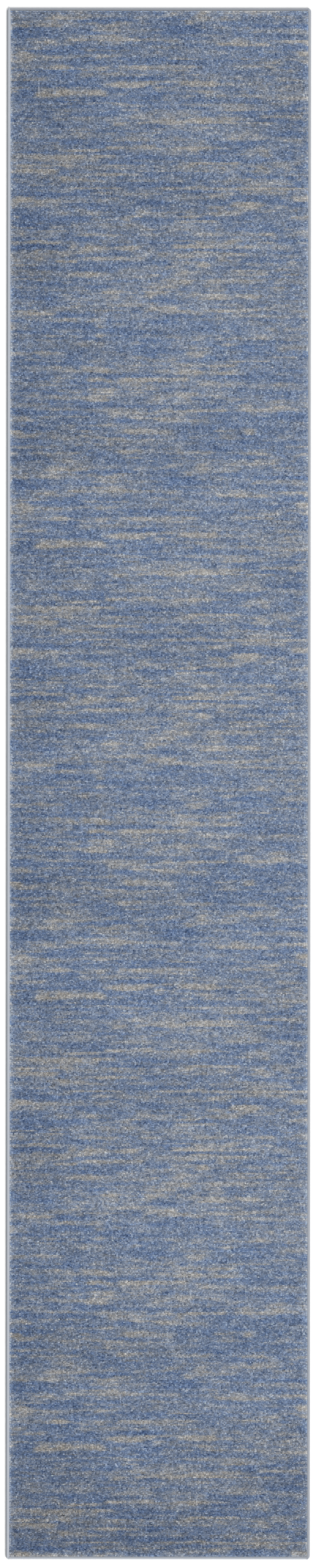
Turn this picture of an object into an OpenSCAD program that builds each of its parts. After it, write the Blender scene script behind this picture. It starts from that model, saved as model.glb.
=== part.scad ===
// A low cut-pile runner rug, woven face to face and overcast on all four sides.
// Lengths are in millimetres. X runs across the rug, Y along it and Z up.
// The origin is the middle of the underside, on the floor.

/* [Rug] */
// Finished width, over the overcast bands
rug_w = 600; // [450:10:900]
// Finished length, over the overcast bands
rug_l = 3060; // [1500:10:4000]
// Radius of the four corners, seen from above
corner_r = 7; // [6:0.5:12]

/* [Pile] */
// Height of the cut pile above the ground weave
pile_h = 6; // [4:0.5:14]
// Gap between the pile and the overcast bands
pile_gap = 0.6; // [0.2:0.1:1.5]

/* [Ground weave] */
// Thickness of the latex size coat on the underside
coat_t = 0.5; // [0.4:0.1:1.2]
// Diameter of a weft shot
weft_d = 0.8; // [0.6:0.1:1]
// Distance from one weft shot to the next, along the rug
weft_pitch = 2.8; // [2.5:0.1:6]
// Diameter of a stuffer warp
stuffer_d = 0.7; // [0.5:0.1:0.9]
// Distance from one stuffer warp to the next, across the rug
warp_pitch = 3.2; // [2.8:0.1:6]
// Diameter of a chain warp, which lies between two stuffer warps
chain_d = 0.5; // [0.3:0.1:0.5]

/* [Overcast edge] */
// Width of an overcast band, seen from above
band_w = 6.2; // [5.8:0.1:8]
// Height of an overcast band at its round outer side
band_h = 5.2; // [4.8:0.1:5.6]
// Height of an overcast band at its inner side, next to the pile
flank_h = 4.2; // [3.6:0.1:4.6]
// Diameter of the core cord inside an overcast band
cord_d = 3.2; // [2.8:0.1:3.6]
// How far a band grips the edge of the ground weave
grip_w = 1.8; // [1.2:0.1:2]

/* [Care label] */
// Width of the blank label, across the rug
label_w = 55; // [30:1:80]
// Length of the blank label, along the rug
label_l = 40; // [25:1:60]
// Thickness of the label
label_t = 0.3; // [0.2:0.05:0.35]
// Distance from the label to the overcast bands at its corner of the rug
label_inset = 14; // [8:1:40]
// Distance from the label's edge to its line of stitches
stitch_inset = 2.5; // [2:0.5:4]
// Length of one stitch
stitch_l = 2.6; // [2:0.1:4]
// Distance from the start of one stitch to the start of the next
stitch_pitch = 4; // [4:0.1:6]
// Thickness of the sewing thread
thread_t = 0.15; // [0.1:0.05:0.15]

/* [Hidden] */

yarn_fn = 16;
cord_fn = 32;
corner_fn = 48;
cut_over = 1;

// Heights of the layers, from the floor up
weft_z = coat_t + weft_d / 2;
stuffer_z = coat_t + weft_d + stuffer_d / 2;
chain_z = coat_t + weft_d + chain_d / 2;
ground_top = coat_t + weft_d + stuffer_d;

// The ground weave ends inside the bands' grip
ground_w = rug_w - 2 * (band_w - grip_w);
ground_l = rug_l - 2 * (band_w - grip_w);
weft_count = floor(ground_l / weft_pitch);
stuffer_count = floor(ground_w / warp_pitch);

// The field is what lies inside the four bands
field_w = rug_w - 2 * band_w;
field_l = rug_l - 2 * band_w;

// The side bands run the whole length, and the end bands fit between them
cord_x = band_h / 2;
side_cord_l = rug_l - 2 * corner_r;
pile_corner_r = 3;

// The label lies in the underside's corner at +X, -Y
label_x = field_w / 2 - label_inset - label_w / 2;
label_y = -field_l / 2 + label_inset + label_l / 2;

pile_blue = [0.41, 0.49, 0.62];
band_blue = [0.72, 0.76, 0.82];
jute_tan = [0.66, 0.57, 0.43];
cotton_grey = [0.78, 0.76, 0.72];
latex_buff = [0.80, 0.78, 0.72];
label_white = [0.93, 0.93, 0.91];
thread_grey = [0.55, 0.57, 0.60];

// A flat rectangle with round corners
module round_plan(w, l, r) {
  square([w - 2 * r, l], center = true);
  square([w, l - 2 * r], center = true);
  for (x = [-1, 1], y = [-1, 1])
    translate([x * (w / 2 - r), y * (l / 2 - r)]) circle(r = r, $fn = corner_fn);
}

// A straight yarn or cord, centred on the origin and lying along Y
module yarn_along(length, diameter, fn) {
  rotate([90, 0, 0]) cylinder(d = diameter, h = length, center = true, $fn = fn);
}

// The overcast band's section: x runs inward from the rug's edge, y runs up
module band_section() {
  translate([cord_x, band_h / 2]) circle(d = band_h, $fn = cord_fn);
  translate([cord_x, 0]) square([band_w - cord_x, flank_h]);
}

// A band along Y with its outer side at x = 0, hollow for its cord and for the ground weave
module band(length, cord_length, slot_length) {
  difference() {
    translate([0, length / 2, 0]) rotate([90, 0, 0]) linear_extrude(length) band_section();
    translate([cord_x, 0, band_h / 2]) yarn_along(cord_length, cord_d, cord_fn);
    translate([band_w - grip_w, -slot_length / 2, coat_t])
      cube([grip_w + cut_over, slot_length, weft_d + stuffer_d]);
  }
}

module side_band() {
  intersection() {
    translate([-rug_w / 2, 0, 0]) band(rug_l, side_cord_l, ground_l);
    linear_extrude(band_h) round_plan(rug_w, rug_l, corner_r);
  }
}

module end_band() {
  rotate(90) translate([-rug_l / 2, 0, 0]) band(field_w, field_w + cut_over, field_w + cut_over);
}

module side_cord() {
  translate([cord_x - rug_w / 2, 0, band_h / 2]) yarn_along(side_cord_l, cord_d, cord_fn);
}

module end_cord() {
  rotate(90) translate([cord_x - rug_l / 2, 0, band_h / 2]) yarn_along(field_w, cord_d, cord_fn);
}

// One row of stitches along X, centred on the origin, standing up from z = 0
module stitch_row(length) {
  count = floor((length - stitch_l) / stitch_pitch) + 1;
  for (i = [0 : count - 1])
    translate([(i - (count - 1) / 2) * stitch_pitch - stitch_l / 2, -thread_t, 0])
      cube([stitch_l, 2 * thread_t, thread_t]);
}

// The stitches near the label's four edges
module stitch_ring() {
  run_w = label_w - 2 * stitch_inset;
  run_l = label_l - 2 * stitch_inset;
  for (side = [-1, 1]) {
    translate([0, side * run_l / 2, 0]) stitch_row(run_w - stitch_pitch);
    translate([side * run_w / 2, 0, 0]) rotate(90) stitch_row(run_l - stitch_pitch);
  }
}

module pile() {
  color(pile_blue) translate([0, 0, ground_top]) linear_extrude(pile_h)
    round_plan(field_w - 2 * pile_gap, field_l - 2 * pile_gap, pile_corner_r);
}

module weft_shots() {
  color(jute_tan) for (i = [0 : weft_count - 1])
    translate([0, (i - (weft_count - 1) / 2) * weft_pitch, weft_z])
      rotate(90) yarn_along(ground_w, weft_d, yarn_fn);
}

module stuffer_warps() {
  color(cotton_grey) for (i = [0 : stuffer_count - 1])
    translate([(i - (stuffer_count - 1) / 2) * warp_pitch, 0, stuffer_z])
      yarn_along(ground_l, stuffer_d, yarn_fn);
}

module chain_warps() {
  color(cotton_grey) for (i = [0 : stuffer_count - 2])
    translate([(i - (stuffer_count - 2) / 2) * warp_pitch, 0, chain_z])
      yarn_along(ground_l, chain_d, yarn_fn);
}

module latex_coat() {
  color(latex_buff) difference() {
    translate([-field_w / 2, -field_l / 2, 0]) cube([field_w, field_l, coat_t]);
    translate([label_x - label_w / 2, label_y - label_l / 2, -cut_over])
      cube([label_w, label_l, cut_over + label_t]);
  }
}

module side_cord_left() {
  color(cotton_grey) side_cord();
}

module side_cord_right() {
  color(cotton_grey) mirror([1, 0, 0]) side_cord();
}

module end_cord_head() {
  color(cotton_grey) mirror([0, 1, 0]) end_cord();
}

module end_cord_foot() {
  color(cotton_grey) end_cord();
}

module side_overcast_left() {
  color(band_blue) side_band();
}

module side_overcast_right() {
  color(band_blue) mirror([1, 0, 0]) side_band();
}

module end_overcast_head() {
  color(band_blue) mirror([0, 1, 0]) end_band();
}

module end_overcast_foot() {
  color(band_blue) end_band();
}

module care_label() {
  color(label_white) translate([label_x, label_y, 0]) difference() {
    translate([-label_w / 2, -label_l / 2, 0]) cube([label_w, label_l, label_t]);
    stitch_ring();
  }
}

module label_stitching() {
  color(thread_grey) translate([label_x, label_y, 0]) stitch_ring();
}

pile();
weft_shots();
stuffer_warps();
chain_warps();
latex_coat();
side_cord_left();
side_cord_right();
end_cord_head();
end_cord_foot();
side_overcast_left();
side_overcast_right();
end_overcast_head();
end_overcast_foot();
care_label();
label_stitching();
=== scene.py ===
"""A low cut-pile runner rug, laid flat: tufts of eight heathered yarns in a woven ground with a latex back.

The four edges are overcast in pale yarn. Lengths are in metres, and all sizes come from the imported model.
"""

import math

import bpy
import numpy as np
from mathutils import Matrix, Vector


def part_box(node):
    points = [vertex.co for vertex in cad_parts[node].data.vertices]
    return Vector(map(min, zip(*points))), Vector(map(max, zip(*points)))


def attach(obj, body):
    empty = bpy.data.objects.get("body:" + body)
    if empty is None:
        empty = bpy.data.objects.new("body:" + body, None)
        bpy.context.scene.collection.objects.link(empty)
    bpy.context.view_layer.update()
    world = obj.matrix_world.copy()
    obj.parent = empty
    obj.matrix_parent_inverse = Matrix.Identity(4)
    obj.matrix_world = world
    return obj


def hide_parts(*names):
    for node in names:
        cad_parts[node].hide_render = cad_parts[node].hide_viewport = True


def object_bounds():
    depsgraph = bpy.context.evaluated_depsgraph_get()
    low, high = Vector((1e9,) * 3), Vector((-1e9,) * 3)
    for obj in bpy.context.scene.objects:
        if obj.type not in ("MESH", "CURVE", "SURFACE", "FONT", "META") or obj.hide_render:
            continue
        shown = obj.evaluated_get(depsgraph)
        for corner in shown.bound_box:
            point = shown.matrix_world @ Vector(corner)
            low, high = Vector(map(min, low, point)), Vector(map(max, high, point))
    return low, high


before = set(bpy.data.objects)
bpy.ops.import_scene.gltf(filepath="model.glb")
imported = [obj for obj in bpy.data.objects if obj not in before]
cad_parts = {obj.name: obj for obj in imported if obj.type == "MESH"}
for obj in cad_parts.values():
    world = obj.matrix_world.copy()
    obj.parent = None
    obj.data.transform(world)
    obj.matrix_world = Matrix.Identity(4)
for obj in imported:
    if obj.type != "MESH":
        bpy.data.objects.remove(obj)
CAD_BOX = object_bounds()

MM = 0.001
SEED = 4107
BODY = "root"
WHITE = (1.0, 1.0, 1.0)

# The tufts stand in rows across the rug, and the design is repeated along it
TUFT_PITCH = (3.2 * MM, 2.8 * MM)
DESIGN_REPEAT = 890 * MM
# Two kinds of dashes: the heights that a line of them can have, in rows, their mean length, in tufts,
# and the share of each line that is beige
BOLD_DASHES = ((1, 2, 2, 3, 4), 24, 0.42)
FINE_DASHES = ((1, 1, 1, 2), 20, 0.50)

# Each tuft is a crown with a ring of points around and below it
RING_POINTS = 6
RING_REACH = (3.20 * MM, 2.20 * MM)
RING_DROP = 2.6 * MM
NAP_LEAN = (0.30 * MM, -0.45 * MM)  # towards the right and the foot
GRAIN = 0.118  # how much the dye varies within a tuft
ROOTS_DROP = 2.6 * MM  # how far below the tips the mass of the tufts' roots lies
# How far the outermost tufts lean to the right and to the head, and how far they sink, in millimetres
BORDER_LEAN = (
    (np.s_[:, 1], (0.5, 0.0), 0.6),
    (np.s_[:, 0], (0.9, 0.0), 1.6),
    (np.s_[:, -1], (1.5, 0.0), 0.0),
    (np.s_[0, :], (0.0, -0.7), 0.0),
    (np.s_[-1, :], (0.0, 1.4), 0.0),
)
LEFT_SINK = 1.8 * MM  # how much lower the tufts' roots lie along the left band

# The dyes run from the coolest yarn to the warmest, and every second yarn is the lighter of its pair.
# Dyes are in display brightness, from 0 to 1, because there a lighter tuft is as colourful as a darker one.
COOL_DYE = np.array([0.453, 0.557, 0.730])
WARM_DYE = np.array([0.755, 0.749, 0.744])
WARMTH_STEPS = (0.28, 0.45, 0.63)
YARNS = ("denim", "sky", "slate", "mist", "taupe", "stone", "umber", "sand")
# Painted shade on the pile near the foot, the head and the left side: how much darker it makes the tufts,
# and how far in that reaches, as a share of the rug's length or width
FOOT_SHADE = (0.072, 0.085)
HEAD_SHADE = (0.036, 0.18)
LEFT_SHADE = (0.060, 0.22)

# The overcast bands. A turn is one wrap of the overcasting yarn.
BAND_COLOUR = (0.44, 0.468, 0.52)
BAND_TURN = 1.9 * MM
BAND_CORNER = 7 * MM
# How far each band's wrapped yarn spreads towards the pile
BAND_SPREAD = {"left": 1.2 * MM, "right": 0.5 * MM, "foot": 0.5 * MM, "head": 0.5 * MM}
# The tones of each band's outer and inner sides, painted shade and partly the yarn's own tone, and how far
# from its edge they meet, in millimetres
BAND_TONES = {
    "left": (0.52, 0.98, 2.5),
    "right": (0.72, 0.79, 1.8),
    "foot": (0.96, 0.80, 1.8),
    "head": (0.92, 0.55, 1.8),
}


# ---------------------------------------------------------------- mesh helpers


def new_piece(name, points, faces, material, dyes_and_shades):
    """A smooth mesh piece from arrays of points, same-sided faces and colours, riding on the rug."""
    points, faces = np.asarray(points, np.float32), np.asarray(faces, np.int32)
    count, sides = faces.shape
    mesh = bpy.data.meshes.new(name)
    mesh.vertices.add(len(points))
    mesh.vertices.foreach_set("co", points.ravel())
    mesh.loops.add(count * sides)
    mesh.loops.foreach_set("vertex_index", faces.ravel())
    mesh.polygons.add(count)
    mesh.polygons.foreach_set("loop_start", np.arange(0, count * sides, sides, dtype=np.int32))
    mesh.polygons.foreach_set("use_smooth", np.full(count, True))
    mesh.update(calc_edges=True)
    # The dye layer holds each point's colour, with any painted light and shade in it.
    layer = mesh.attributes.new("dye", "FLOAT_COLOR", "POINT")
    layer.data.foreach_set("color", np.insert(dyes_and_shades, 3, 1.0, axis=1).astype(np.float32).ravel())
    mesh.materials.append(material)
    piece = bpy.data.objects.new(name, mesh)
    bpy.context.scene.collection.objects.link(piece)
    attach(piece, BODY)
    return piece


# ---------------------------------------------------------------- materials


def node_material(name):
    """A new material, its node tree and its shader."""
    material = bpy.data.materials.new(name)
    material.use_nodes = True
    return material, material.node_tree, material.node_tree.nodes["Principled BSDF"]


def add_node(tree, kind, settings=(), inputs=()):
    """A node with its properties and its input values or links set."""
    node = tree.nodes.new(kind)
    for key, value in dict(settings).items():
        setattr(node, key, value)
    for key, value in dict(inputs).items():
        if isinstance(value, bpy.types.NodeSocket):
            tree.links.new(value, node.inputs[key])
        else:
            node.inputs[key].default_value = value
    return node


def noise(tree, place, scale, detail=2.0):
    """Noise from 0 to 1, with its features about 1 / scale metres apart."""
    return add_node(
        tree, "ShaderNodeTexNoise", inputs={"Vector": place, "Scale": scale, "Detail": detail}
    ).outputs["Fac"]


def ribs(tree, place, axis, pitch, distortion, detail=1.0):
    """Waves from 0 to 1 along an axis, one for every pitch."""
    return add_node(
        tree,
        "ShaderNodeTexWave",
        {"wave_type": "BANDS", "bands_direction": axis, "wave_profile": "SIN"},
        {"Vector": place, "Scale": math.pi / (10 * pitch), "Distortion": distortion, "Detail": detail},
    ).outputs["Fac"]


def dye_and_shade_of(tree):
    """The colour stored at each point of the mesh: its dye, with any painted light and shade in it."""
    return add_node(tree, "ShaderNodeAttribute", {"attribute_name": "dye"}).outputs["Color"]


def stretch(tree, value, low, high):
    """The value from 0 to 1, mapped to run from low to high."""
    return add_node(
        tree, "ShaderNodeMapRange", inputs={"Value": value, "To Min": low, "To Max": high}
    ).outputs["Result"]


def mix_colour(tree, factor, first, second, blend="MIX"):
    """The second colour laid over the first, by the factor. Each is a value or a link."""
    mix = tree.nodes.new("ShaderNodeMix")
    mix.data_type, mix.blend_type = "RGBA", blend
    for index, value in ((0, factor), (6, first), (7, second)):
        if isinstance(value, bpy.types.NodeSocket):
            tree.links.new(value, mix.inputs[index])
        else:
            mix.inputs[index].default_value = value
    return mix.outputs[2]


def rgba(colour, shade=1.0):
    """A colour for a socket. A shade above 1 lightens what the colour is multiplied with."""
    return (*(c * shade for c in colour), 1.0)


def object_place(tree):
    """The place on the rug, in metres."""
    return add_node(tree, "ShaderNodeTexCoord").outputs["Object"]


def add_bump(tree, shader, height, depth, strength=1.0):
    """Fine relief on the shader, from a height of 0 to 1 times the depth."""
    bump = add_node(
        tree, "ShaderNodeBump", inputs={"Height": height, "Distance": depth, "Strength": strength}
    )
    tree.links.new(bump.outputs["Normal"], shader.inputs["Normal"])


def pile_material(name):
    """Cut polypropylene yarn: each tuft has its own dye, and its fibre ends show as a fine fleck."""
    material, tree, shader = node_material(name)
    place = object_place(tree)
    fibres = noise(tree, place, 2200, 3.0)
    flat = add_node(
        tree, "ShaderNodeVectorMath", {"operation": "MULTIPLY"}, {0: place, 1: (1.0, 1.7, 1.0)}
    ).outputs["Vector"]
    plies = noise(tree, flat, 720, 1.0)
    fleck = mix_colour(tree, plies, rgba(WHITE, 0.0), rgba(WHITE, 1.34))
    fine_fleck = mix_colour(tree, fibres, rgba(WHITE, 0.70), rgba(WHITE, 1.0))
    spun = mix_colour(tree, 1.0, dye_and_shade_of(tree), fleck, "MULTIPLY")
    flecked = mix_colour(tree, 1.0, spun, fine_fleck, "MULTIPLY")
    tree.links.new(flecked, shader.inputs["Base Color"])
    tree.links.new(stretch(tree, fibres, 0.62, 0.92), shader.inputs["Roughness"])
    add_bump(tree, shader, fibres, 0.25 * MM)
    shader.inputs["Sheen Weight"].default_value = 0.14
    shader.inputs["Sheen Roughness"].default_value = 0.45
    shader.inputs["Specular IOR Level"].default_value = 0.35
    return material


def spun_yarn_material(name, colour, axis, turn, with_painted_shade=False):
    """Plied yarn lying along an axis: slanting ply lines every turn, fibre fleck and a soft tone drift."""
    material, tree, shader = node_material(name)
    place = object_place(tree)
    plies = ribs(tree, place, axis, turn, 2.5)
    fibres = noise(tree, place, 2600, 3.0)
    drift = noise(tree, place, 14, 2.0)
    plied = mix_colour(tree, plies, rgba(colour, 0.82), rgba(colour, 1.08))
    flecked = mix_colour(tree, stretch(tree, fibres, 0.0, 0.4), plied, rgba(colour, 1.3))
    faded = rgba((0.80, 0.81, 0.84))
    drifted = mix_colour(tree, stretch(tree, drift, 0.0, 0.45), flecked, faded, "MULTIPLY")
    # The bands' points carry their painted shade, which is multiplied in here.
    if with_painted_shade:
        drifted = mix_colour(tree, 1.0, drifted, dye_and_shade_of(tree), "MULTIPLY")
    tree.links.new(drifted, shader.inputs["Base Color"])
    tree.links.new(stretch(tree, fibres, 0.55, 0.85), shader.inputs["Roughness"])
    add_bump(tree, shader, plies, 0.2 * MM, 0.8)
    shader.inputs["Sheen Weight"].default_value = 0.15
    shader.inputs["Sheen Roughness"].default_value = 0.4
    return material


def backing_material(name, latex):
    """The yarns' undersides showing through a thin, uneven film of dried latex."""
    material, tree, shader = node_material(name)
    place = object_place(tree)
    film = noise(tree, place, 60, 4.0)
    grain = noise(tree, place, 1500, 2.0)
    warps = ribs(tree, place, "X", TUFT_PITCH[0], 1.5)
    shade_between_warps, dust = rgba((0.55, 0.55, 0.56)), rgba(WHITE, 0.6)
    # Painted shade between the warps' ribs.
    ribbed = mix_colour(tree, stretch(tree, warps, 0.0, 0.35), dye_and_shade_of(tree), shade_between_warps, "MULTIPLY")
    coated = mix_colour(tree, stretch(tree, film, 0.15, 0.70), ribbed, rgba(latex))
    soiled = mix_colour(tree, stretch(tree, grain, 0.0, 0.35), coated, dust, "MULTIPLY")
    tree.links.new(soiled, shader.inputs["Base Color"])
    tree.links.new(stretch(tree, film, 0.40, 0.75), shader.inputs["Roughness"])
    add_bump(tree, shader, warps, 0.20 * MM)
    return material


def satin_material(name, colour):
    """A woven satin tape: fine crossing ribs."""
    material, tree, shader = node_material(name)
    place = object_place(tree)
    threads_x = ribs(tree, place, "X", 0.35 * MM, 0.6, detail=2.0)
    threads_y = ribs(tree, place, "Y", 0.60 * MM, 0.6, detail=2.0)
    weave = add_node(
        tree, "ShaderNodeMath", {"operation": "MULTIPLY"}, {0: threads_x, 1: threads_y}
    ).outputs["Value"]
    threads = mix_colour(tree, weave, rgba(colour, 0.86), rgba(colour, 1.05))
    tree.links.new(threads, shader.inputs["Base Color"])
    tree.links.new(stretch(tree, weave, 0.55, 0.35), shader.inputs["Roughness"])
    add_bump(tree, shader, weave, 0.08 * MM)
    shader.inputs["Sheen Weight"].default_value = 0.2
    return material


# ---------------------------------------------------------------- the woven design


def blurred(field, sigma_rows, sigma_columns):
    """The field, softened by a Gaussian that wraps round its edges."""
    rows = np.fft.fftfreq(field.shape[0])[:, None]
    columns = np.fft.rfftfreq(field.shape[1])[None, :]
    soften = np.exp(-2 * math.pi**2 * ((rows * sigma_rows) ** 2 + (columns * sigma_columns) ** 2))
    return np.fft.irfft2(np.fft.rfft2(field) * soften, s=field.shape)


def standard(field):
    """The field with mean 0 and deviation 1."""
    return (field - field.mean()) / field.std()


def dashes(rng, rows, columns, heights, mean_length, share):
    """Lines of dashes: each line is a few rows high, and a dash on it starts and ends abruptly."""
    field = np.zeros((rows, columns))
    row = 0
    while row < rows:
        height = int(rng.choice(heights))
        column = 0
        while column < columns:
            length = int(rng.exponential(mean_length)) + 2
            strength = rng.gamma(2.0, 0.5) if rng.random() < share else 0.0
            field[row : row + height, column : column + length] = strength
            column += length
        row += height
    return field


def design(rng, rows, columns):
    """How beige the design is at each tuft, and how light, both with mean 0 and deviation 1."""
    wide = int(columns * 1.4)  # wider than the rug, so that its two sides don't match

    def cloud(sigma_rows, sigma_columns):
        """Soft random patches, with mean 0 and deviation 1."""
        return standard(blurred(rng.normal(size=(rows, wide)), sigma_rows, sigma_columns))

    bold = dashes(rng, rows, wide, *BOLD_DASHES)
    fine = dashes(rng, rows, wide, *FINE_DASHES)
    worn = (1 + 0.45 * cloud(0.7, 2.5)).clip(0.1)
    beige = (
        standard(blurred(bold, 0.5, 1.5) * worn) * 0.66
        + standard(blurred(fine, 0.4, 1.3) * worn) * 0.50
        + cloud(1.0, 9) * 0.46
        + cloud(0.6, 1.4) * 0.26
    )
    beige = np.tanh(0.48 * standard(beige))
    light = cloud(2.0, 8) * 0.63 + cloud(13, 20) * 0.77
    return standard(beige)[:, :columns], standard(light)[:, :columns]


def side_shade(rows, columns):
    """How much painted shade darkens the pile near both ends and along the left side."""
    along = np.linspace(0, 1, rows)[:, None]
    across = np.linspace(0, 1, columns)[None, :]
    sides = (along, FOOT_SHADE), (1 - along, HEAD_SHADE), (across, LEFT_SHADE)
    return sum(depth * np.exp(-((distance / reach) ** 2)) for distance, (depth, reach) in sides)


def painted_border_light(rows, columns):
    """Painted light on the tufts next to the bands, whose splayed tips catch the light, and more on the
    columns along the left band, whose slopes face away from the lamp.
    """
    along, across = np.arange(rows)[:, None], np.arange(columns)[None, :]
    inward = np.minimum(np.minimum(along, rows - 1 - along), np.minimum(across, columns - 1 - across))
    return 0.110 * np.exp(-inward / 1.5) + 0.10 * np.exp(-across / 0.8)


def dyes_with_painted_light(rng, beige, light):
    """Each tuft's yarn, as a number, and its own dye, with painted light along the border and painted shade
    near the ends and the left side.
    """
    warmth = (0.45 + 0.225 * beige + 0.08 * rng.normal(size=beige.shape)).clip(-0.1, 1.1)
    tone = 0.048 * rng.normal(size=beige.shape) + 0.0155 * light
    yarn = 2 * np.searchsorted(WARMTH_STEPS, warmth) + (tone > 0)
    dye = COOL_DYE + warmth[..., None] * (WARM_DYE - COOL_DYE)
    # The border's painted light is added to each dye, and the painted shade near the ends and the left side
    # is taken off.
    return yarn, dye + (tone + painted_border_light(*beige.shape) - side_shade(*beige.shape))[..., None]


def as_base_colour(dye):
    """A dye in display brightness, as the linear base colour that a shader takes."""
    return dye.clip(0.02, 1.0) ** 2.2


# ---------------------------------------------------------------- the pile


def tuft_points(rng, centres, top, field):
    """Each tuft as a leaning dome: a crown point and a ring of six points around it."""
    count = len(centres)
    scatter = rng.uniform(-1, 1, (count, 2)) * (0.30, 0.17)  # the rows stay straighter than the columns
    centres = centres + scatter * TUFT_PITCH
    crown = centres + rng.normal(size=(count, 2)) * (0.60 * MM, 0.30 * MM) + NAP_LEAN
    height = top - np.abs(rng.normal(size=count)) * 0.45 * MM
    turn = rng.uniform(0, math.tau, (count, 1)) + np.arange(RING_POINTS) * math.tau / RING_POINTS
    reach = rng.normal(1.0, 0.15, (count, RING_POINTS)).clip(0.7, 1.35)
    ring_x = centres[:, :1] + np.cos(turn) * reach * RING_REACH[0]
    ring_y = centres[:, 1:] + np.sin(turn) * reach * RING_REACH[1]
    drop = rng.normal(RING_DROP / MM, 0.40, (count, RING_POINTS)).clip(1.5, 3.6) * MM
    (low_x, low_y), (high_x, high_y) = field
    points = np.empty((count, RING_POINTS + 1, 3))
    points[:, 0] = np.column_stack([crown, height])
    points[:, 1:, 0] = ring_x.clip(low_x, high_x)
    points[:, 1:, 1] = ring_y.clip(low_y, high_y)
    points[:, 1:, 2] = height[:, None] - drop
    return points.reshape(-1, 3)


def grid_faces(rows, columns):
    """The quads of a grid of points, which is numbered row by row."""
    corner = (np.arange(rows - 1)[:, None] * columns + np.arange(columns - 1)).ravel()
    return np.column_stack([corner, corner + 1, corner + columns + 1, corner + columns])


def tuft_faces(count):
    """Six triangles for each tuft, from its crown to its ring."""
    ring = np.arange(RING_POINTS)
    one = np.column_stack([np.zeros(RING_POINTS, int), 1 + ring, 1 + (ring + 1) % RING_POINTS])
    return (one[None] + (RING_POINTS + 1) * np.arange(count)[:, None, None]).reshape(-1, 3)


def root_mass(rng, low, high, dye):
    """A sheet below the tips, with one point for every second tuft each way: points, faces and dyes."""
    dye = dye[::2, ::2]
    rows, columns = dye.shape[:2]
    x, y = np.meshgrid(np.linspace(low[0], high[0], columns), np.linspace(low[1], high[1], rows))
    z = high[2] - ROOTS_DROP + rng.uniform(-0.3, 0.3, x.shape) * MM
    z[:, 0] -= LEFT_SINK
    points = np.stack([x, y, z], axis=-1).reshape(-1, 3)
    # The roots are 0.10 darker than the tips above them: painted shade below the tips.
    return points, grid_faces(rows, columns), dye.reshape(-1, 3) - 0.10


def root_side(low, high, x, y, dye):
    """The fluted side round the pile, with one flute for each tuft at the edge: points, faces and dyes."""
    x = (x[:, None] + (-0.25, 0.25) * np.diff(x[:2])).ravel()[1:-1]
    y = (y[:, None] + (-0.25, 0.25) * np.diff(y[:2])).ravel()[1:-1]
    round_off = 1.0 * MM  # how far the side stays clear of the corners
    x = x.clip(low[0] + round_off, high[0] - round_off)
    flute = 0.30 * MM
    out_x = np.where(np.arange(len(x)) % 4 < 2, flute, 0.0)
    out_y = np.where(np.arange(len(y)) % 4 < 2, flute, 0.0)
    foot = np.column_stack([x, low[1] - out_x])
    right = np.column_stack([high[0] + out_y, y])
    head = np.column_stack([x, high[1] + out_x])[::-1]
    left = np.column_stack([low[0] - out_y, y])[::-1]
    loop = np.vstack([foot, right, head, left])
    across = (np.arange(len(x)) + 1) // 2
    along = (np.arange(len(y)) + 1) // 2
    edge_dye = np.vstack([dye[0, across], dye[along, -1], dye[-1, across][::-1], dye[along, 0][::-1]])
    top = np.full(len(loop), high[2] - 2.0 * MM)
    top[-len(left) :] -= LEFT_SINK
    levels = ((0.0, -0.14), (0.5, -0.05), (1.0, 0.0))  # each level's share of the height, and its tone: painted shade, darker towards the floor
    points = np.vstack([np.column_stack([loop, low[2] + share * (top - low[2])]) for share, _ in levels])
    dyes_and_shades = np.vstack([edge_dye + tone for _, tone in levels])
    here = np.arange(len(loop))
    after = np.roll(here, -1)
    strip = np.column_stack([here, after, after + len(loop), here + len(loop)])
    return points, np.vstack([strip, strip + len(loop)]), dyes_and_shades


def make_pile_roots(rng, low, high, x, y, dye):
    """The tufts' lower lengths: a mass below their tips, and a fluted side round the whole pile."""
    mass_points, mass_faces, mass_dyes_and_shades = root_mass(rng, low, high, dye)
    side_points, side_faces, side_dyes_and_shades = root_side(low, high, x, y, dye)
    points = np.vstack([mass_points, side_points])
    faces = np.vstack([mass_faces, side_faces + len(mass_points)])
    dyes_and_shades = as_base_colour(np.vstack([mass_dyes_and_shades, side_dyes_and_shades]))
    piece = new_piece("pile_roots", points, faces, pile_material("root_pile_yarn"), dyes_and_shades)
    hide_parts("pile")
    return piece


def make_pile():
    """The pile, one piece for each yarn. Returns the pieces and each tuft's dye, with its painted light and
    shade.
    """
    rng = np.random.default_rng(SEED)
    low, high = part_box("pile")
    columns = int((high[0] - low[0]) / TUFT_PITCH[0])
    rows = int((high[1] - low[1]) / TUFT_PITCH[1])
    repeat_rows = round(DESIGN_REPEAT / TUFT_PITCH[1])
    beige, light = (
        np.resize(part, (rows, columns)) for part in design(rng, repeat_rows, columns)
    )
    # dye holds each tuft's dye with its painted light and shade in it.
    yarn, dye = dyes_with_painted_light(rng, beige, light)
    x = low[0] + (np.arange(columns) + 0.5) * (high[0] - low[0]) / columns
    y = low[1] + (np.arange(rows) + 0.5) * (high[1] - low[1]) / rows
    centres = np.stack(np.meshgrid(x, y), axis=-1)
    tops = np.full((rows, columns), high[2])
    for edge, (across, along), sink in BORDER_LEAN:
        centres[edge] += (across * MM, along * MM)
        tops[edge] -= sink * MM
    flare = 1.3 * MM  # how far their tips may spread over the bands
    left_flare = 0.1 * MM
    field = (low[0] - left_flare, low[1] - flare), (high[0] + flare, high[1] + flare)
    pieces = [make_pile_roots(rng, low, high, x, y, dye)]
    for number, name in enumerate(YARNS):
        mine = yarn == number
        points = tuft_points(rng, centres[mine], tops[mine], field)
        count = int(mine.sum())
        dyes_and_shades = np.repeat(dye[mine], RING_POINTS + 1, axis=0) + GRAIN * rng.normal(size=(len(points), 1))
        material = pile_material(f"{name}_pile_yarn")
        piece = new_piece(
            f"pile_{name}", points, tuft_faces(count), material, as_base_colour(dyes_and_shades)
        )
        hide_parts("pile")
        pieces.append(piece)
    return pieces, as_base_colour(dye)


# ---------------------------------------------------------------- the backing


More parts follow.
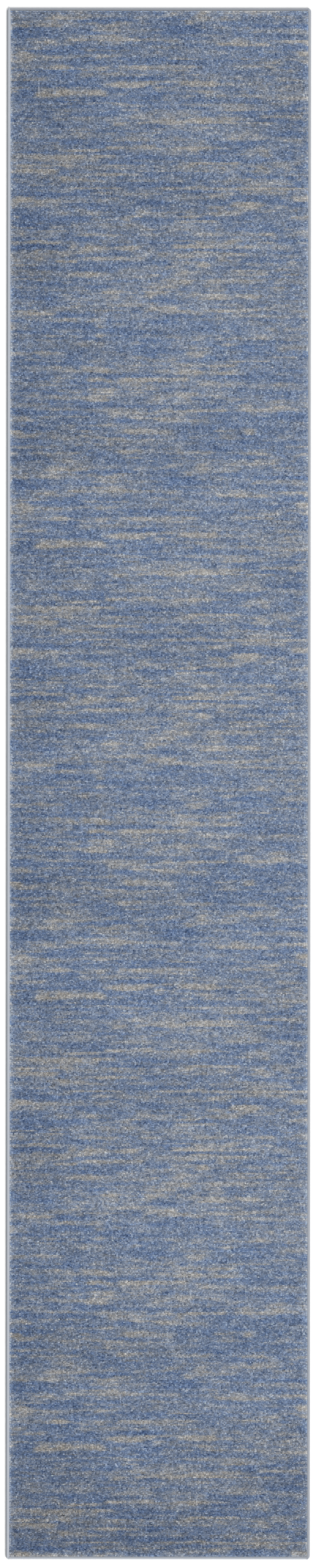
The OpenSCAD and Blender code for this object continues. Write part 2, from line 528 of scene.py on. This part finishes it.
def make_backing(tuft_colours):
    """The ribbed underside: a sheet with one rib for each row of tufts, and a latex film over it."""
    low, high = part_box("latex_coat")
    tuft_rows, tuft_columns = tuft_colours.shape[:2]
    rows, columns = 2 * tuft_rows + 1, 45  # a line of points on each rib and one in each groove
    y = np.linspace(low[1], high[1], rows)
    x = np.linspace(low[0], high[0], columns)
    grid_x, grid_y = np.meshgrid(x, y)
    rng = np.random.default_rng(SEED + 1)
    in_groove = (np.arange(rows) % 2)[:, None]
    clear_of_floor, groove_depth = 0.02 * MM, 0.38 * MM
    uneven = np.abs(rng.normal(size=grid_x.shape)) * 0.03 * MM
    grid_z = low[2] + clear_of_floor + in_groove * groove_depth + uneven
    across = np.linspace(0, tuft_columns - 1, columns).round().astype(int)
    along = np.minimum(np.arange(rows) // 2, tuft_rows - 1)
    # Painted shade in the grooves and painted light on the ribs: the grooves' colours times 0.62, the ribs'
    # times 1.12.
    colours = tuft_colours[along][:, across] * np.where(in_groove == 1, 0.62, 1.12)[..., None]
    faces = grid_faces(rows, columns)[:, [0, 3, 2, 1]]  # turned over, to face down
    points = np.stack([grid_x, grid_y, grid_z], axis=-1).reshape(-1, 3)
    piece = new_piece(
        "backing_cloth",
        points,
        faces,
        backing_material("latex_film", (0.50, 0.49, 0.45)),
        colours.reshape(-1, 3),
    )
    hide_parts("latex_coat")
    return piece


# ---------------------------------------------------------------- the overcast edges


def band_outline(width, height, flank):
    """The band's section, clockwise from its inner foot: a flat foot, a round outer side, a flank."""
    radius = height / 2
    arc = np.linspace(1.5 * math.pi, 0.42 * math.pi, 11)
    x = radius + radius * np.cos(arc)
    z = radius + radius * np.sin(arc)
    x = np.concatenate([[width], x, [width - 0.5 * MM, width]])
    z = np.concatenate([[0.0], z, [flank + 0.2 * MM, flank - 0.3 * MM]])
    return x, z


def corner_inset(distance, radius):
    """How far the outline is set in at this distance from the rug's end, where its corner is round."""
    d = np.clip(radius - distance, 0, radius)
    return radius - np.sqrt(radius**2 - d**2)


def wrapped_band(rng, length, width, height, flank, spread, corner=0.0):
    """The overcasting yarn's turns side by side along Y, from x = 0 inwards, as one closed skin."""
    per_turn = 4
    outline_x, outline_z = band_outline(width + spread, height, flank)
    sides = len(outline_x)
    turns = round(length / BAND_TURN)
    rings = turns * per_turn + 1
    y = np.linspace(-length / 2, length / 2, rings)
    phase = np.arange(rings) % per_turn
    groove = np.array([0.32, 0.08, 0.0, 0.10])[phase] * MM  # how deep each ring of a turn lies
    turn = np.arange(rings) // per_turn
    fullness = rng.normal(0, 0.07, turns + 1)[turn] * MM
    centre_x, centre_z = width * 0.52, height * 0.5
    out_x, out_z = outline_x - centre_x, outline_z - centre_z
    size = np.hypot(out_x, out_z)
    shrink = (size[None] - groove[:, None] - np.abs(fullness)[:, None]) / size[None]
    x = centre_x + out_x[None] * shrink
    z = centre_z + out_z[None] * shrink
    z = np.maximum(z, 0.0)
    slant = (np.arange(sides) / sides - 0.5) * BAND_TURN * 0.9
    near_end = np.minimum(1.0, (length / 2 - np.abs(y)) / (3 * BAND_TURN)).clip(0)
    y = y[:, None] + slant[None] * near_end[:, None]  # the turns straighten out at both ends
    if corner:
        inset = corner_inset(length / 2 - np.abs(y), corner).clip(0, width - 1.2 * MM)
        x = inset + x * (width - inset) / width
    points = np.stack([x, y, z], axis=-1).reshape(-1, 3)
    ring, side = np.meshgrid(np.arange(rings - 1), np.arange(sides), indexing="ij")
    after = (side + 1) % sides
    faces = np.stack(
        [ring * sides + side, ring * sides + after, (ring + 1) * sides + after, (ring + 1) * sides + side],
        axis=-1,
    ).reshape(-1, 4)
    points = np.vstack([points, points[:sides].mean(axis=0), points[-sides:].mean(axis=0)])
    first, last = len(points) - 2, len(points) - 1
    around = np.arange(0, sides, 2)
    over, past = (around + 1) % sides, (around + 2) % sides
    top = (rings - 1) * sides
    near = np.column_stack([np.full(len(around), first), past, over, around])
    far = np.column_stack([np.full(len(around), last), top + around, top + over, top + past])
    return points, np.vstack([faces, near, far])


def band_painted_shade(points, outer_tone, inner_tone, meeting):
    """The tone of a band's points, from its outer side at x = 0 to its inner side: painted shade, and
    partly the yarn's own tone.
    """
    softness = 0.20  # of the place where the two tones meet, in millimetres
    outer = 1 / (1 + np.exp((points[:, 0] / MM - meeting) / softness))
    return np.repeat((inner_tone + (outer_tone - inner_tone) * outer)[:, None], 3, axis=1)


def make_bands():
    """The four overcast bands: the sides run the whole length, and the ends fit between them."""
    rng = np.random.default_rng(SEED + 2)
    low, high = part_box("side_overcast_left")
    width, height = high[0] - low[0], high[2] - low[2]
    length = CAD_BOX[1][1] - CAD_BOX[0][1]
    flank = 0.81 * height
    lengthwise = spun_yarn_material("side_overcast_yarn", BAND_COLOUR, "X", 1.1 * MM, with_painted_shade=True)
    crosswise = spun_yarn_material("end_overcast_yarn", BAND_COLOUR, "Y", 1.1 * MM, with_painted_shade=True)
    edge_x, edge_y = CAD_BOX[1][0], CAD_BOX[1][1]
    pieces = []
    for name, sign in (("left", 1), ("right", -1)):
        points, faces = wrapped_band(rng, length, width, height, flank, BAND_SPREAD[name], BAND_CORNER)
        dyes_and_shades = band_painted_shade(points, *BAND_TONES[name])
        points[:, 0] = sign * (points[:, 0] - edge_x)
        faces = faces if sign > 0 else faces[:, ::-1]
        piece = new_piece(
            f"overcast_side_{name}", points, faces, lengthwise, dyes_and_shades
        )
        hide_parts(f"side_overcast_{name}")
        pieces.append(piece)
    for name, sign in (("foot", 1), ("head", -1)):
        low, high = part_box(f"end_overcast_{name}")
        points, faces = wrapped_band(rng, high[0] - low[0], width, height, flank, BAND_SPREAD[name])
        dyes_and_shades = band_painted_shade(points, *BAND_TONES[name])
        turned = np.column_stack([points[:, 1], sign * (points[:, 0] - edge_y), points[:, 2]])
        faces = faces[:, ::-1] if sign > 0 else faces
        piece = new_piece(
            f"overcast_end_{name}", turned, faces, crosswise, dyes_and_shades
        )
        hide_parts(f"end_overcast_{name}")
        pieces.append(piece)
    return pieces


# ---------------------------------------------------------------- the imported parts' finishes


def finish_cad_parts():
    """The ground yarns, core cords, label and stitches keep their CAD shape and get their finishes."""
    warp = spun_yarn_material("warp_yarn", (0.57, 0.55, 0.50), "Y", 2.0 * MM)
    cord_lengthwise = spun_yarn_material("side_core_cord", (0.60, 0.58, 0.54), "Y", 3.0 * MM)
    cord_crosswise = spun_yarn_material("end_core_cord", (0.60, 0.58, 0.54), "X", 3.0 * MM)
    finishes = {
        "weft_shots": spun_yarn_material("weft_yarn", (0.42, 0.33, 0.21), "X", 2.5 * MM),
        "stuffer_warps": warp,
        "chain_warps": warp,
        "side_cord_left": cord_lengthwise,
        "side_cord_right": cord_lengthwise,
        "end_cord_head": cord_crosswise,
        "end_cord_foot": cord_crosswise,
        "care_label": satin_material("label_satin", (0.80, 0.80, 0.78)),
        "label_stitching": spun_yarn_material("sewing_thread", (0.27, 0.29, 0.32), "X", 0.4 * MM),
    }
    for node, material in finishes.items():
        for material_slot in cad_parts[node].material_slots:
            material_slot.material = material


# ---------------------------------------------------------------- the studio


def make_floor():
    """A wide pale floor, just below the rug."""
    size = 200.0
    mesh = bpy.data.meshes.new("floor")
    corners = [(-size, -size), (size, -size), (size, size), (-size, size)]
    drop = 0.3 * MM
    mesh.from_pydata([(x, y, -drop) for x, y in corners], [], [(0, 1, 2, 3)])
    material, tree, shader = node_material("studio_floor")
    mottle = noise(tree, object_place(tree), 0.5)
    colour = mix_colour(tree, mottle, rgba(WHITE, 0.90), rgba(WHITE, 0.93))
    tree.links.new(colour, shader.inputs["Base Color"])
    shader.inputs["Roughness"].default_value = 0.9
    shader.inputs["Specular IOR Level"].default_value = 0.0
    mesh.materials.append(material)
    floor = bpy.data.objects.new("floor", mesh)
    bpy.context.scene.collection.objects.link(floor)


def make_light():
    """An even sky, and one broad soft lamp from the foot and the right."""
    world = bpy.data.worlds.new("studio")
    bpy.context.scene.world = world
    world.use_nodes = True
    sky = world.node_tree.nodes["Background"]
    sky.inputs["Color"].default_value = (0.97, 0.985, 1.0, 1.0)
    sky.inputs["Strength"].default_value = 0.72
    lamp = bpy.data.lights.new("key", "SUN")
    lamp.energy, lamp.angle, lamp.color = 2.05, math.radians(24), (1.0, 0.98, 0.95)
    key = bpy.data.objects.new("key", lamp)
    towards_lamp = Vector((0.40, -0.50, 0.80))
    key.rotation_mode = "QUATERNION"
    key.rotation_quaternion = towards_lamp.to_track_quat("Z", "Y")
    bpy.context.scene.collection.objects.link(key)


def make_camera():
    """A long lens straight above the rug, with the head at the top of the picture."""
    shown_length = 3.0922  # how much of the floor's length the picture's height shows
    centre_x, centre_y = -0.80 * MM, -0.55 * MM
    roll = 0.0009  # in radians
    data = bpy.data.cameras.new("camera")
    data.sensor_width, data.lens = 36.0, 200.0
    data.clip_start, data.clip_end = 0.1, 100.0
    camera = bpy.data.objects.new("camera", data)
    away = shown_length * data.lens / data.sensor_width
    camera.location = (centre_x, centre_y, CAD_BOX[1][2] + away)
    camera.rotation_euler = (0.0, 0.0, roll)
    bpy.context.scene.collection.objects.link(camera)
    bpy.context.scene.camera = camera


make_camera()
make_light()
make_floor()
pile, tuft_colours = make_pile()
backing = make_backing(tuft_colours)
bands = make_bands()
finish_cad_parts()
bpy.context.scene.view_settings.view_transform = "Standard"
